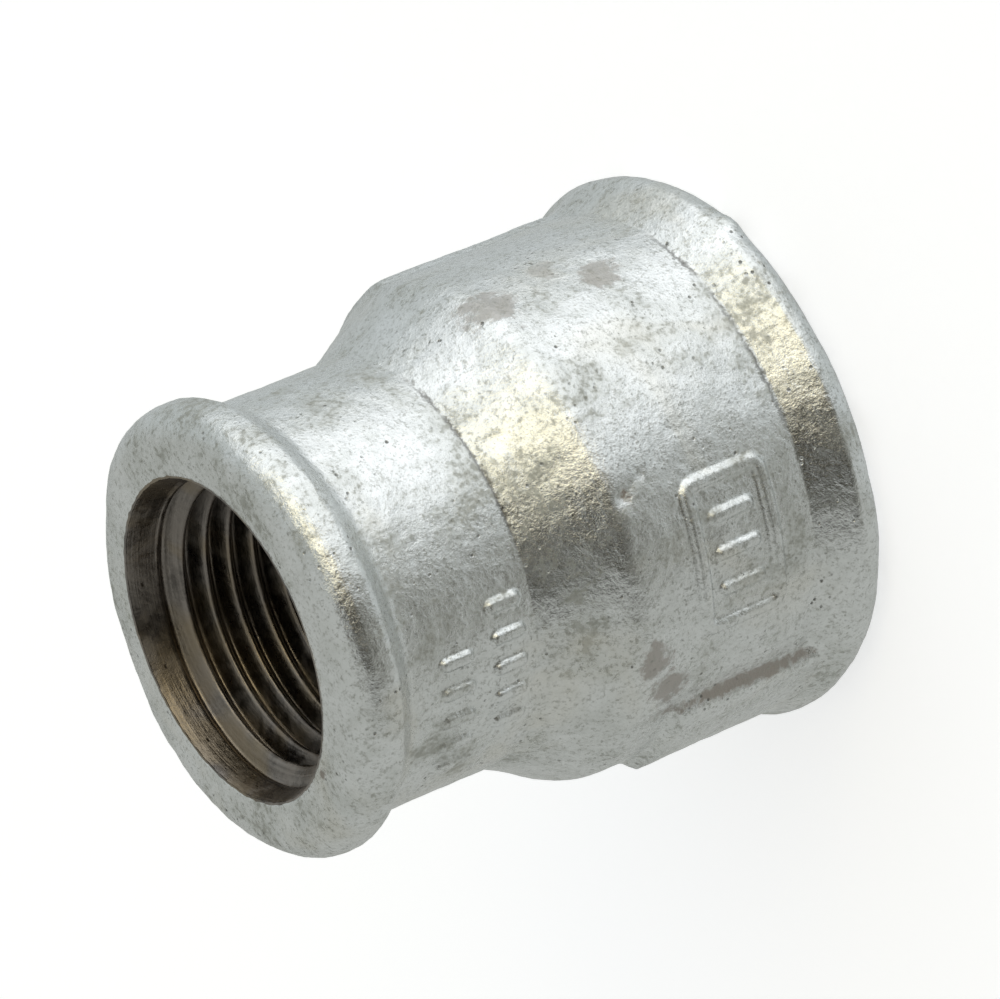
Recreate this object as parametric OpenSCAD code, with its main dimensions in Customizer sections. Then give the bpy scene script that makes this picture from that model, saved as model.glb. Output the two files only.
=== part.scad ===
// Concentric reducing socket: female parallel pipe thread 3/4 down to 1/2, in malleable cast iron,
// hot-dip galvanised. The bore runs along Z and the large end stands on z = 0.
// All sizes are in millimetres and all angles in degrees.

/* [Overall] */
// Length from end face to end face
length = 39; // [36:0.5:60]
// Length of the large body, from the large end face to the shoulder
large_body_len = 18.9; // [12:0.1:19.5]
// Length of the shoulder, from the large body to the small body
shoulder_len = 4.7; // [3:0.1:7]
// Radius of the soft edge at the top of the shoulder
shoulder_edge_r = 2.6; // [1:0.1:4]
// Radius of the hollow at the foot of the shoulder
shoulder_foot_r = 3; // [1:0.1:4]

/* [Small end] */
// Outside diameter of the body
small_body_d = 27.7; // [25:0.1:31]
// How far the bead round the end stands above the body
small_bead_rise = 1.25; // [1:0.05:2.5]
// Width of the bead, up to where it starts to fall to the body
small_bead_w = 3.1; // [2.7:0.1:4.5]
// Length over which the bead falls to the body
small_bead_fall = 1.5; // [0.8:0.1:2.5]
// Radius of the edge between the end face and the bead
small_bead_front_r = 2.2; // [1:0.1:2.4]

/* [Large end] */
// Outside diameter of the body
large_body_d = 34; // [31:0.1:40]
// How far the bead round the end stands above the body
large_bead_rise = 1.5; // [1:0.05:3]
// Width of the bead, up to where it starts to fall to the body
large_bead_w = 2.4; // [1.9:0.1:4.5]
// Length over which the bead falls to the body
large_bead_fall = 2.7; // [0.8:0.1:3.5]
// Radius of the edge between the end face and the bead
large_bead_front_r = 2.1; // [1:0.1:2.4]

/* [Bead edges] */
// Radius of the edge at the back of each bead
bead_back_r = 0.9; // [0.4:0.1:1.2]
// Radius of the hollow between each bead and the body
bead_foot_r = 1; // [0.4:0.1:1.5]

/* [Small thread, 1/2] */
// Diameter at the bottom of the thread grooves
small_major_d = 20.955; // [20:0.001:22]
// Diameter over the thread crests
small_minor_d = 18.631; // [17.5:0.001:19]
// Pitch of the thread
small_pitch = 1.814; // [1.5:0.001:2]
// Depth of the threaded socket, from the end face
small_thread_len = 15; // [11:0.1:18]
// Diameter of the machined mouth at the end face
small_mouth_d = 21.5; // [21:0.1:23]

/* [Large thread, 3/4] */
// Diameter at the bottom of the thread grooves
large_major_d = 26.441; // [25.5:0.001:27]
// Diameter over the thread crests
large_minor_d = 24.117; // [23:0.001:24.5]
// Pitch of the thread
large_pitch = 1.814; // [1.5:0.001:2]
// Depth of the threaded socket, from the end face
large_thread_len = 16.3; // [12:0.1:18]
// Diameter of the machined mouth at the end face
large_mouth_d = 27; // [26.6:0.1:28]

/* [Machined mouths] */
// Depth of the plain tapered recess in front of each thread
recess_depth = 2.1; // [1:0.1:3]
// How much the recess closes in over its depth, on the radius
recess_draw = 0.5; // [0.2:0.05:0.7]
// Length of plain crest before the first groove and after the last one
crest_land = 0.5; // [0.3:0.1:1]
// Angle of each thread flank
flank_angle = 27.5; // [25:0.5:30]

/* [As-cast passage] */
// How much tighter the cast passage is than the machined bores, on the radius
passage_step = 0.25; // [0.2:0.05:0.5]
// Length of the straight lip at each end of the passage
passage_lip = 1.2; // [0.4:0.1:1.5]
// Radius that rounds the passage's two bends
passage_bend_r = 2; // [0.5:0.1:3]

/* [Ribs] */
// Width of the two opposite ribs on the large body
rib_w = 9; // [4:0.5:12]
// Height of the first rib above the body
first_rib_rise = 0.8; // [0.3:0.05:1]
// Distance from the large end face to the top of the first rib's end slope
first_rib_end = 15.2; // [10:0.1:17]
// Height of the second rib above the body
second_rib_rise = 0.42; // [0.3:0.05:1]
// Distance from the large end face to the top of the second rib's end slope
second_rib_end = 18.6; // [10:0.1:22]
// Steepness of the slope that ends each rib, measured from the bore's direction
rib_end_angle = 65; // [30:1:80]

/* [Foundry marks] */
// Height of the cast marks above the body
mark_rise = 0.3; // [0.2:0.05:0.5]
// Width of the strokes of the marks
mark_stroke = 0.8; // [0.6:0.05:1]
// Length of the tally frame, round the body
frame_len = 10.5; // [8:0.5:12]
// Height of the tally frame, along the bore
frame_h = 6.6; // [5:0.1:8]
// Bars inside the tally frame
frame_bars = 3; // [1:1:4]
// Distance from the large end face to the middle of the tally frame
frame_z = 11; // [9:0.1:12]
// Direction in which the tally frame faces, from the second rib
frame_dir = -128; // [-140:1:-40]
// Dashes in each of the two rows on the small body
row_dashes = 5; // [1:1:6]
// Length of a dash, along the bore
dash_len = 2.4; // [1.5:0.1:2.6]
// Distance between dashes, round the body
dash_gap = 2.1; // [1.8:0.1:2.4]
// Distance of each row below the small end face
row_depths = [8.2, 12.2];
// Direction in which each row faces, from the second rib
row_dirs = [-150, -140];

/* [Coating] */
// Thickness of the zinc coating
zinc_t = 0.1; // [0.05:0.01:0.2]

/* [Hidden] */
$fn = 96;
arc_steps = 6;
over = 1;
mark_root = 1.5;
small_end = 1;
large_end = 0;

small_bead_r = small_body_d / 2 + small_bead_rise;
large_bead_r = large_body_d / 2 + large_bead_rise;

// Corners of the outside, each [radius, height, edge radius], from the axis at z = 0 to the axis at the top
outside_corners = [
    [0, 0, 0],
    [large_bead_r, 0, large_bead_front_r],
    [large_bead_r, large_bead_w, bead_back_r],
    [large_body_d / 2, large_bead_w + large_bead_fall, bead_foot_r],
    [large_body_d / 2, large_body_len, shoulder_edge_r],
    [small_body_d / 2, large_body_len + shoulder_len, shoulder_foot_r],
    [small_body_d / 2, length - small_bead_w - small_bead_fall, bead_foot_r],
    [small_bead_r, length - small_bead_w, bead_back_r],
    [small_bead_r, length, small_bead_front_r],
    [0, length, 0]
];

// The passage between the threads
passage_low = large_thread_len;
passage_high = length - small_thread_len;
passage_wide_r = large_minor_d / 2 - passage_step;
passage_tight_r = small_minor_d / 2 - passage_step;
lip = min(passage_lip, (passage_high - passage_low) / 4);
passage_corners = [
    [passage_wide_r, passage_low - over, 0],
    [passage_wide_r, passage_low + lip, passage_bend_r],
    [passage_tight_r, passage_high - lip, passage_bend_r],
    [passage_tight_r, passage_high + over, 0]
];

function at(corner) = [corner[0], corner[1]];
function unit(v) = v / norm(v);
function left_of(v) = [-v[1], v[0]];
function turned(v, a) = [v[0] * cos(a) - v[1] * sin(a), v[0] * sin(a) + v[1] * cos(a)];
function turn_angle(u, v) = atan2(u[0] * v[1] - u[1] * v[0], u * v);
function heading(corners, i) = unit(at(corners[i + 1]) - at(corners[i]));

// The corners of the same line moved sideways to the left by d, with their edge radii to match
function shifted(corners, d) =
    let (last = len(corners) - 1)
    [for (i = [0 : last])
        let (u = heading(corners, max(i - 1, 0)), v = heading(corners, min(i, last - 1)))
        let (side = (left_of(u) + left_of(v)) / (1 + u * v))
        let (edge = corners[i][2] - d * sign(turn_angle(u, v)))
        concat(at(corners[i]) + d * side, corners[i][2] == 0 ? 0 : max(edge, 0))
    ];

// How far back from corner i its rounding starts, if it has the room
function setback(corners, i) =
    i == 0 || i == len(corners) - 1 || corners[i][2] == 0
        ? 0
        : corners[i][2] * tan(abs(turn_angle(heading(corners, i - 1), heading(corners, i))) / 2);

// The share of its rounding that corner i can have, when it divides its sides with its neighbours
function share(corners, i) =
    let (own = setback(corners, i))
    let (before = norm(at(corners[i]) - at(corners[i - 1])) / (own + setback(corners, i - 1)))
    let (after = norm(at(corners[i + 1]) - at(corners[i])) / (own + setback(corners, i + 1)))
    min(1, 0.98 * before, 0.98 * after);

// The points of the arc that rounds corner i
function rounding(corners, i) =
    let (u = heading(corners, i - 1), a = turn_angle(u, heading(corners, i)), part = share(corners, i))
    let (start = at(corners[i]) - u * setback(corners, i) * part)
    let (centre = start + left_of(u) * sign(a) * corners[i][2] * part)
    [for (k = [0 : arc_steps]) centre + turned(start - centre, a * k / arc_steps)];

// The points of a line with its corners rounded
function rounded(corners) =
    [for (i = [0 : len(corners) - 1])
        each setback(corners, i) == 0 ? [at(corners[i])] : rounding(corners, i)];

// One round of thread, as points [radius, depth] from where its groove starts
function groove(major_r, minor_r, pitch) =
    let (flank = (major_r - minor_r) * tan(flank_angle), root = pitch / 2 - flank)
    [[minor_r, 0], [major_r, flank], [major_r, flank + root], [minor_r, 2 * flank + root]];

// The outline of a threaded socket, as points [radius, depth] from its end face
function socket_line(mouth_r, major_r, minor_r, pitch, depth) =
    let (recess_r = mouth_r - recess_draw, chamfer_end = recess_depth + recess_r - minor_r)
    let (first = chamfer_end + crest_land, room = depth - crest_land - first)
    let (turns = floor(room / pitch), taper = recess_draw / recess_depth)
    concat(
        [[0, -over], [mouth_r + taper * over, -over], [recess_r, recess_depth], [minor_r, chamfer_end]],
        [for (i = [0 : turns - 1], p = groove(major_r, minor_r, pitch)) p + [0, first + i * pitch]],
        [[minor_r, depth], [0, depth]]
    );

// Places children of the large end at z = 0 or turns them over onto the small end
module on_end(end) {
    if (end == small_end) translate([0, 0, length]) mirror([0, 0, 1]) children();
    else children();
}

// The space of both threaded sockets, which cuts the casting and its coating alike
module sockets() {
    on_end(small_end) rotate_extrude()
        polygon(socket_line(small_mouth_d / 2, small_major_d / 2, small_minor_d / 2, small_pitch,
                            small_thread_len));
    on_end(large_end) rotate_extrude()
        polygon(socket_line(large_mouth_d / 2, large_major_d / 2, large_minor_d / 2, large_pitch,
                            large_thread_len));
}

// The space of the passage, drawn in by the given thickness
module passage(thickness) {
    line = rounded(shifted(passage_corners, thickness));
    low = line[0][1];
    high = line[len(line) - 1][1];
    rotate_extrude() polygon(concat([[0, low]], line, [[0, high]]));
}

// A rib along X from inside the bead to a sloping end, drawn in by the given thickness
module rib(rise, rib_end, thickness) {
    top_r = large_body_d / 2 + rise - thickness;
    low_r = small_body_d / 2 - over;
    slope_start = rib_end - thickness;
    slope_stop = slope_start + (top_r - low_r) / tan(rib_end_angle);
    wide = rib_w - 2 * thickness;
    intersection() {
        rotate_extrude() polygon([
            [0, large_bead_w / 2], [top_r, large_bead_w / 2], [top_r, slope_start],
            [low_r, slope_stop], [0, slope_stop]
        ]);
        translate([0, -wide / 2, 0]) cube([large_bead_r, wide, length]);
    }
}

// A raised stroke that faces along X from inside the body: its size round and along the body and its middle
module stroke(body_d, round_size, along_size, round_at, along_at, thickness) {
    wide = round_size - 2 * thickness;
    high = along_size - 2 * thickness;
    translate([body_d / 2 - mark_root, round_at - wide / 2, along_at - high / 2])
        cube([2 * mark_root, wide, high]);
}

// The tally frame with its bars, on the large body
module tally_frame(thickness) {
    step = (frame_len - mark_stroke) / (frame_bars + 1);
    half_len = (frame_len - mark_stroke) / 2;
    half_h = (frame_h - mark_stroke) / 2;
    intersection() {
        cylinder(r = large_body_d / 2 + mark_rise - thickness, h = length);
        rotate([0, 0, frame_dir]) {
            for (side = [-1, 1]) {
                stroke(large_body_d, frame_len, mark_stroke, 0, frame_z + side * half_h, thickness);
                stroke(large_body_d, mark_stroke, frame_h, side * half_len, frame_z, thickness);
            }
            for (i = [1 : frame_bars])
                stroke(large_body_d, mark_stroke, frame_h - 4 * mark_stroke, i * step - half_len, frame_z,
                       thickness);
        }
    }
}

// The two rows of dashes on the small body
module dash_rows(thickness) {
    step = dash_gap / small_body_d * 360 / PI;
    intersection() {
        cylinder(r = small_body_d / 2 + mark_rise - thickness, h = length);
        for (row = [0 : len(row_depths) - 1], i = [0 : row_dashes - 1])
            rotate([0, 0, row_dirs[row] + (i - (row_dashes - 1) / 2) * step])
                stroke(small_body_d, mark_stroke, dash_len, 0, length - row_depths[row], thickness);
    }
}

// The whole outside as one solid, drawn in by the given thickness
module envelope(thickness) {
    rotate_extrude() polygon(rounded(shifted(outside_corners, thickness)));
    rotate([0, 0, 180]) rib(first_rib_rise, first_rib_end, thickness);
    rib(second_rib_rise, second_rib_end, thickness);
    tally_frame(thickness);
    dash_rows(thickness);
}

// The malleable iron casting, with its two threads cut bare
module iron_casting() {
    color([0.36, 0.33, 0.30]) difference() {
        envelope(zinc_t);
        sockets();
        passage(0);
    }
}

// The zinc on the outside and on the end faces, up to the machined mouths
module outer_zinc_coating() {
    color([0.76, 0.79, 0.80]) difference() {
        envelope(0);
        envelope(zinc_t);
        sockets();
    }
}

// The zinc left on the cast passage, between the two threads
module inner_zinc_coating() {
    color([0.66, 0.69, 0.70]) intersection() {
        difference() {
            passage(0);
            passage(zinc_t);
        }
        translate([0, 0, passage_low]) cylinder(d = large_body_d, h = passage_high - passage_low);
    }
}

iron_casting();
outer_zinc_coating();
inner_zinc_coating();
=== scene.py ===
"""Looks of a galvanised reducing socket with two female pipe threads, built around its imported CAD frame.

The bore runs along Z and the large end stands on z = 0. Sizes are in millimetres, and each finished mesh
is scaled to metres. Directions round the bore are in degrees, from the second rib.
"""

import sys
import logging
import math
from collections.abc import Callable
from dataclasses import dataclass, field
from enum import Enum

import bmesh
import bpy
from mathutils import Matrix, Vector, noise


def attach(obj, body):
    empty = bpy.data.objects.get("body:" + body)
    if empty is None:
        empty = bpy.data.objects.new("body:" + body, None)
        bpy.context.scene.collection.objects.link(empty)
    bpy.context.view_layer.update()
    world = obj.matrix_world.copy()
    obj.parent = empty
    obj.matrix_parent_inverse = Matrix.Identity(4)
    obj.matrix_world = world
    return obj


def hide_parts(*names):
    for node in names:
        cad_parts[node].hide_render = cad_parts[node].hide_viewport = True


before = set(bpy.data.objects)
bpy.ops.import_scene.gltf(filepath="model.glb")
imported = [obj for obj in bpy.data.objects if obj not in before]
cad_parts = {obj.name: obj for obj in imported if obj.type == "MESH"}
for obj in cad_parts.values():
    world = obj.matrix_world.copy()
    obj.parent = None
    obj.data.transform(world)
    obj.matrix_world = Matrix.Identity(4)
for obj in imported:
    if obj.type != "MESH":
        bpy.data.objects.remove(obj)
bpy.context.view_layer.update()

LOG = logging.getLogger("reducer")
MM = 0.001
TAU = 2 * math.pi
BODY = "root"

Colour = tuple[float, float, float]
Triple = tuple[float, float, float]
Span = tuple[float, float]
Socket = bpy.types.NodeSocket


class Node(Enum):
    """The CAD nodes that the pieces stand for."""

    IRON = "iron_casting"
    OUTER_ZINC = "outer_zinc_coating"
    INNER_ZINC = "inner_zinc_coating"


class Slot(Enum):
    """The record's material slots."""

    BARE_IRON = "bare_iron"
    OUTER_ZINC = "outer_zinc"
    INNER_ZINC = "inner_zinc"


class End(Enum):
    """The two ends of the socket."""

    SMALL = "small"
    LARGE = "large"


# ---- shader nodes


class Value:
    """A number that a shader works out, held as the socket that gives it."""

    def __init__(self, tree: "NodeSheet", socket: Socket) -> None:
        """Wraps a socket.

        Args:
            tree: The sheet of nodes that the socket is on.
            socket: The output socket.
        """
        self.tree = tree
        self.socket = socket

    def maths(self, operation: str, *inputs: "Value | float") -> "Value":
        """Adds one Math node.

        Args:
            operation: The Math node's operation.
            inputs: Its inputs in order.

        Returns:
            The node's result.
        """
        return self.tree.add("ShaderNodeMath", {"operation": operation}, dict(enumerate(inputs))).value()

    def __add__(self, other: "Value | float") -> "Value":
        """Adds."""
        return self.maths("ADD", self, other)

    def __radd__(self, other: float) -> "Value":
        """Adds, with a number on the left."""
        return self.maths("ADD", other, self)

    def __sub__(self, other: "Value | float") -> "Value":
        """Subtracts."""
        return self.maths("SUBTRACT", self, other)

    def __rsub__(self, other: float) -> "Value":
        """Subtracts from a number."""
        return self.maths("SUBTRACT", other, self)

    def __mul__(self, other: "Value | float") -> "Value":
        """Multiplies."""
        return self.maths("MULTIPLY", self, other)

    def __rmul__(self, other: float) -> "Value":
        """Multiplies, with a number on the left."""
        return self.maths("MULTIPLY", other, self)

    def rise(self, start: float, end: float) -> "Value":
        """Turns the value into a soft step.

        Args:
            start: Where the step is still 0.
            end: Where it has reached 1. It may be below start, for a falling step.

        Returns:
            The step, from 0 to 1.
        """
        low, high, at_low, at_high = (start, end, 0.0, 1.0) if start < end else (end, start, 1.0, 0.0)
        made = self.tree.add(
            "ShaderNodeMapRange",
            {"interpolation_type": "SMOOTHSTEP"},
            {"Value": self, "From Min": low, "From Max": high, "To Min": at_low, "To Max": at_high},
        )
        return made.value("Result")


class Made:
    """A node that has been added, whose outputs are read by name."""

    def __init__(self, tree: "NodeSheet", node: bpy.types.Node) -> None:
        """Holds a node.

        Args:
            tree: The sheet of nodes that it is on.
            node: The node.
        """
        self.tree = tree
        self.node = node

    def out(self, name: str | int = 0) -> Socket:
        """Gives an output socket by its name or place."""
        return self.node.outputs[name]

    def value(self, name: str | int = 0) -> Value:
        """Gives an output as a value that can be calculated with."""
        return Value(self.tree, self.node.outputs[name])


class NodeSheet:
    """The nodes of one material or of the world."""

    def __init__(self, owner: bpy.types.Material | bpy.types.World) -> None:
        """Clears the owner's nodes.

        Args:
            owner: The material or world to fill.
        """
        owner.use_nodes = True
        self.tree = owner.node_tree
        self.tree.nodes.clear()

    def add(self, kind: str, settings: dict | None = None, inputs: dict | None = None) -> Made:
        """Adds a node.

        Args:
            kind: The node's type.
            settings: Its properties, which are set first.
            inputs: Values or links for its sockets, by name or place.

        Returns:
            The node.
        """
        node = self.tree.nodes.new(kind)
        for name, setting in (settings or {}).items():
            setattr(node, name, setting)
        for name, given in (inputs or {}).items():
            socket = node.inputs[name]
            if isinstance(given, Value):
                given = given.socket
            if isinstance(given, Socket):
                self.tree.links.new(given, socket)
            elif isinstance(given, tuple) and len(given) < len(socket.default_value):
                socket.default_value = (*given, 1.0)
            else:
                socket.default_value = given
        return Made(self, node)

    def coordinates(self) -> Socket:
        """Gives the place on the piece, in metres."""
        return self.add("ShaderNodeTexCoord").out("Object")

    def squeezed(self, place: Socket, scale: Triple) -> Socket:
        """Scales a pattern differently along each axis.

        Args:
            place: The coordinates.
            scale: The scale along X, Y and Z.

        Returns:
            The scaled coordinates.
        """
        inputs = {"Vector": place, "Scale": scale}
        return self.add("ShaderNodeMapping", {"vector_type": "POINT"}, inputs).out()

    def grain(
        self, place: Socket, size: float, detail: float = 4.0, rough: float = 0.55, warp: float = 0.0
    ) -> Value:
        """Adds a cloudy pattern.

        Args:
            place: The coordinates, in metres.
            size: The size of the clouds, in millimetres.
            detail: How many finer layers there are.
            rough: How strong the finer layers are.
            warp: How much the pattern is twisted.

        Returns:
            The pattern, from 0 to 1 with its middle at 0.5.
        """
        inputs = {"Vector": place, "Scale": 1 / (size * MM)}
        inputs |= {"Detail": detail, "Roughness": rough, "Distortion": warp}
        return self.add("ShaderNodeTexNoise", {"noise_dimensions": "3D"}, inputs).value(0)

    def mix(self, share: Value | float, first: Colour | Socket, second: Colour | Socket) -> Socket:
        """Mixes two colours.

        Args:
            share: How much of the second there is.
            first: The first colour.
            second: The second colour.

        Returns:
            The mixed colour.
        """
        settings = {"data_type": "RGBA", "blend_type": "MIX", "clamp_factor": True}
        return self.add("ShaderNodeMix", settings, {0: share, 6: first, 7: second}).out(2)

    def distance(self, place: Socket, middle: Triple) -> Value:
        """Gives how far the place is from a point, in metres."""
        inputs = {0: place, 1: middle}
        return self.add("ShaderNodeVectorMath", {"operation": "DISTANCE"}, inputs).value("Value")

    def height(self, place: Socket) -> Value:
        """Gives how high the place is along the bore, in metres."""
        return self.add("ShaderNodeSeparateXYZ", None, {"Vector": place}).value("Z")

    def bump(self, height: Value, depth: float, below: Socket | None = None) -> Socket:
        """Adds a bump.

        Args:
            height: The height pattern, from 0 to 1.
            depth: The height of the pattern, in millimetres.
            below: The normal of the bump that this one lies on.

        Returns:
            The normal.
        """
        inputs = {"Strength": 1.0, "Distance": depth * MM, "Height": height}
        if below is not None:
            inputs["Normal"] = below
        return self.add("ShaderNodeBump", None, inputs).out()

    def surface(self, **inputs: object) -> None:
        """Ends a material in one Principled surface, whose sockets are given with _ for a space."""
        named = {name.replace("_", " "): given for name, given in inputs.items()}
        made = self.add("ShaderNodeBsdfPrincipled", None, named)
        self.add("ShaderNodeOutputMaterial", None, {"Surface": made.out()})


# ---- finishes


@dataclass(frozen=True)
class Blotch:
    """A dull patch in the zinc, also used for the band of painted shade at the lower rib's foot: its height,
    direction, radius from the axis, size and strength.
    """

    z: float
    direction: float
    radius: float
    size: float
    strength: float = 1.0
    squeeze: float = 1.0

    def place(self) -> Triple:
        """Gives the middle of the patch, in metres."""
        a = math.radians(self.direction)
        return (self.radius * math.cos(a) * MM, self.radius * math.sin(a) * MM, self.z * MM)


@dataclass(frozen=True)
class Crease:
    """Painted shade along the foot of a slope, a thin dark line: its height and width, and the middle and
    reach of its run.
    """

    z: float
    width: float
    direction: float
    radius: float
    reach: float


@dataclass(frozen=True)
class HotDipZinc:
    """Hot-dip zinc on a sand casting: pale, clouded, finely rough, with pits, dull patches and small runs,
    and painted shade as dark lines along the feet of the shoulder, the large bead and the lower rib.
    """

    name: str = "hot_dip_zinc"
    pale: Colour = (0.86, 0.88, 0.885)
    cloudy: Colour = (0.68, 0.70, 0.685)
    dull: Colour = (0.36, 0.365, 0.33)
    brown: Colour = (0.27, 0.235, 0.205)
    pit: Colour = (0.12, 0.115, 0.105)
    warm: Colour = (0.80, 0.76, 0.66)
    cloud_size: float = 6.0
    flow_size: float = 2.2
    flow_squeeze: Triple = (1.0, 1.0, 0.45)
    fine_size: float = 0.42
    grit_size: float = 0.20
    cloud_span: Span = (0.40, 0.62)
    dull_span: Span = (0.57, 0.685)
    dull_share: float = 0.8
    warm_size: float = 9.0
    warm_span: Span = (0.55, 0.75)
    warm_share: float = 0.35
    patch_share: float = 0.72
    pit_share: float = 0.85
    speck_span: Span = (0.49, 0.62)
    speck_share: float = 0.55
    dot_span: Span = (0.60, 0.72)
    dot_drift_size: float = 2.6
    dot_drift_span: Span = (0.42, 0.62)
    dot_share: float = 0.7
    crease_shade_share: float = 0.75
    lump_size: float = 0.9
    lump_depth: float = 0.06
    grain_depth: float = 0.07
    pit_depth: float = 0.05
    pit_spacing: float = 0.75
    pit_edge: Span = (0.20, 0.07)
    pit_drift_size: float = 3.2
    pit_drift_span: Span = (0.47, 0.66)
    shoulder_foot: Span = (18.0, 20.0)
    shoulder_head: Span = (25.0, 24.4)
    large_bead_from: Span = (5.6, 4.9)
    small_bead_from: Span = (35.0, 36.0)
    blotches: tuple[Blotch, ...] = (
        Blotch(10.5, -58.4, 17.0, 1.7, 0.75),
        Blotch(18.4, -55.1, 17.0, 2.2, 0.75),
        Blotch(18.0, -146.6, 17.0, 1.4, 1.0),
        Blotch(16.5, -155.6, 17.0, 1.5, 1.0),
        Blotch(18.1, -108.0, 17.0, 0.45, 1.4),
        Blotch(2.9, -29.6, 18.6, 0.35, 1.3),
        Blotch(13.0, -50.0, 17.0, 1.2, 0.5),
        Blotch(7.0, 40.0, 17.2, 1.6, 0.8),
        Blotch(27.0, 95.0, 13.9, 1.5, 0.8),
        Blotch(15.0, 120.0, 17.0, 1.9, 0.7),
        Blotch(39.0, -163.5, 11.5, 0.5, 1.3),
    )
    # Painted shade: thin dark lines in the creases at the foot of the shoulder and of the large bead.
    creases: tuple[Crease, ...] = (
        Crease(24.72, 0.24, -80.0, 13.9, 8.5),
        Crease(5.2, 0.24, -80.0, 17.0, 9.5),
    )
    # Painted shade: a dark band along the crease at the foot of the lower rib's flank.
    shade_band: Blotch = Blotch(10.3, -164.5, 17.1, 0.60, 1.15, 0.09)

    def material(self) -> bpy.types.Material:
        """Makes the material.

        Returns:
            The material.
        """
        made = bpy.data.materials.new(self.name)
        sheet = NodeSheet(made)
        place = sheet.coordinates()
        clouds = sheet.grain(place, self.cloud_size, 6.0, 0.62, 0.6)
        flow = sheet.grain(sheet.squeezed(place, self.flow_squeeze), self.flow_size, 5.0, 0.6, 0.8)
        fine = sheet.grain(place, self.fine_size, 5.0, 0.65)
        grit = sheet.grain(place, self.grit_size, 3.0, 0.7)
        cloud_mask = (0.6 * clouds + 0.4 * flow).rise(*self.cloud_span)
        colour = sheet.mix(cloud_mask, self.pale, self.cloudy)
        dull_mask = (0.45 * clouds + 0.3 * flow + 0.35 * fine).rise(*self.dull_span)
        colour = sheet.mix(self.dull_share * dull_mask, colour, self.dull)
        warm_mask = sheet.grain(place, self.warm_size, 3.0, 0.5, 1.0).rise(*self.warm_span)
        colour = sheet.mix(self.warm_share * warm_mask, colour, self.warm)
        # Dull brown patches, with the band of painted shade at the lower rib's foot mixed in.
        patch = self.patches(sheet, place, fine)
        colour = sheet.mix(self.patch_share * patch, colour, self.brown)
        pits = self.pits(sheet, place)
        colour = sheet.mix(self.pit_share * pits, colour, self.pit)
        skin = 0.5 * fine + 0.5 * grit
        colour = sheet.mix(self.speck_share * skin.rise(*self.speck_span), colour, self.dull)
        dot_drifts = sheet.grain(place, self.dot_drift_size, 3.0, 0.6).rise(*self.dot_drift_span)
        colour = sheet.mix(self.dot_share * (grit.rise(*self.dot_span) * dot_drifts), colour, self.pit)
        # Painted shade: darkens thin lines in the creases at the foot of the shoulder and of the large bead.
        colour = sheet.mix(self.crease_shade_share * self.crease_shade(sheet, place, fine), colour, self.pit)
        worn = self.worn(sheet, place)
        rough = 0.225 - 0.085 * worn + 0.20 * (fine - 0.5)
        rough = rough + 0.09 * cloud_mask + 0.16 * dull_mask + 0.18 * patch + 0.25 * pits
        metal = 0.97 - 0.20 * dull_mask - 0.35 * patch - 0.10 * cloud_mask
        lumps = sheet.bump(sheet.grain(place, self.lump_size, 4.0, 0.6), self.lump_depth)
        grains = sheet.bump(skin, self.grain_depth, lumps)
        pitted = sheet.bump(1.0 - pits - 0.3 * patch, self.pit_depth, grains)
        sheet.surface(Base_Color=colour, Metallic=metal, Roughness=rough, Normal=pitted)
        return made

    def patches(self, sheet: NodeSheet, place: Socket, fine: Value) -> Value:
        """Adds the dull brown patches at their places, with ragged edges, and a band of painted shade along
        the crease at the foot of the lower rib's flank.

        Args:
            sheet: The material's nodes.
            place: The coordinates.
            fine: A fine pattern that frays the edges.

        Returns:
            Where the patches and the painted shade band are, from 0 to 1.
        """
        fray = sheet.grain(place, 1.6, 5.0, 0.65, 0.5)
        shade_band = self.shade_band
        thin = (1.0, 1.0, shade_band.squeeze)
        middle = tuple(part * scale for part, scale in zip(shade_band.place(), thin, strict=True))
        apart = sheet.distance(sheet.squeezed(place, thin), middle)
        near = apart * (1 / (shade_band.size * MM)) + 1.6 * (fray - 0.5) + 1.6 * (fine - 0.5)
        # The band of painted shade along the crease at the lower rib's foot.
        total: Value | float = near.rise(1.15, 0.6) * shade_band.strength
        for blotch in self.blotches:
            apart = sheet.distance(place, blotch.place())
            near = apart * (1 / (blotch.size * MM)) + 2.6 * (fray - 0.5) + 1.2 * (fine - 0.5)
            total = near.rise(1.0, 0.55) * blotch.strength + total
        return total

    def crease_shade(self, sheet: NodeSheet, place: Socket, fine: Value) -> Value:
        """Paints shade: a thin dark line along the foot of the shoulder and of the large bead, on one side
        only.

        Args:
            sheet: The material's nodes.
            place: The coordinates.
            fine: A fine pattern that frays the line.

        Returns:
            Where the dirt is, from 0 to 1.
        """
        height = sheet.height(place) + 0.9 * MM * (fine - 0.5)
        total: Value | float = 0.0
        for crease in self.creases:
            z, width = crease.z * MM, crease.width * MM
            apart = sheet.distance(place, Blotch(crease.z, crease.direction, crease.radius, 1.0).place())
            run = apart.rise(crease.reach * MM, crease.reach * 0.6 * MM)
            total = height.rise(z - width, z) * height.rise(z + width, z) * run + total
        return total * sheet.grain(place, 2.5, 4.0, 0.6).rise(0.30, 0.50)

    def worn(self, sheet: NodeSheet, place: Socket) -> Value:
        """Finds the shoulder and the beads, which rubbing has made smoother.

        Args:
            sheet: The material's nodes.
            place: The coordinates.

        Returns:
            How worn the surface is, from 0 to 1.
        """
        height = sheet.height(place)
        spans = (self.shoulder_foot, self.shoulder_head, self.large_bead_from, self.small_bead_from)
        foot, head, large_bead, small_bead = (height.rise(start * MM, end * MM) for start, end in spans)
        return foot * head + large_bead + small_bead

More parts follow.
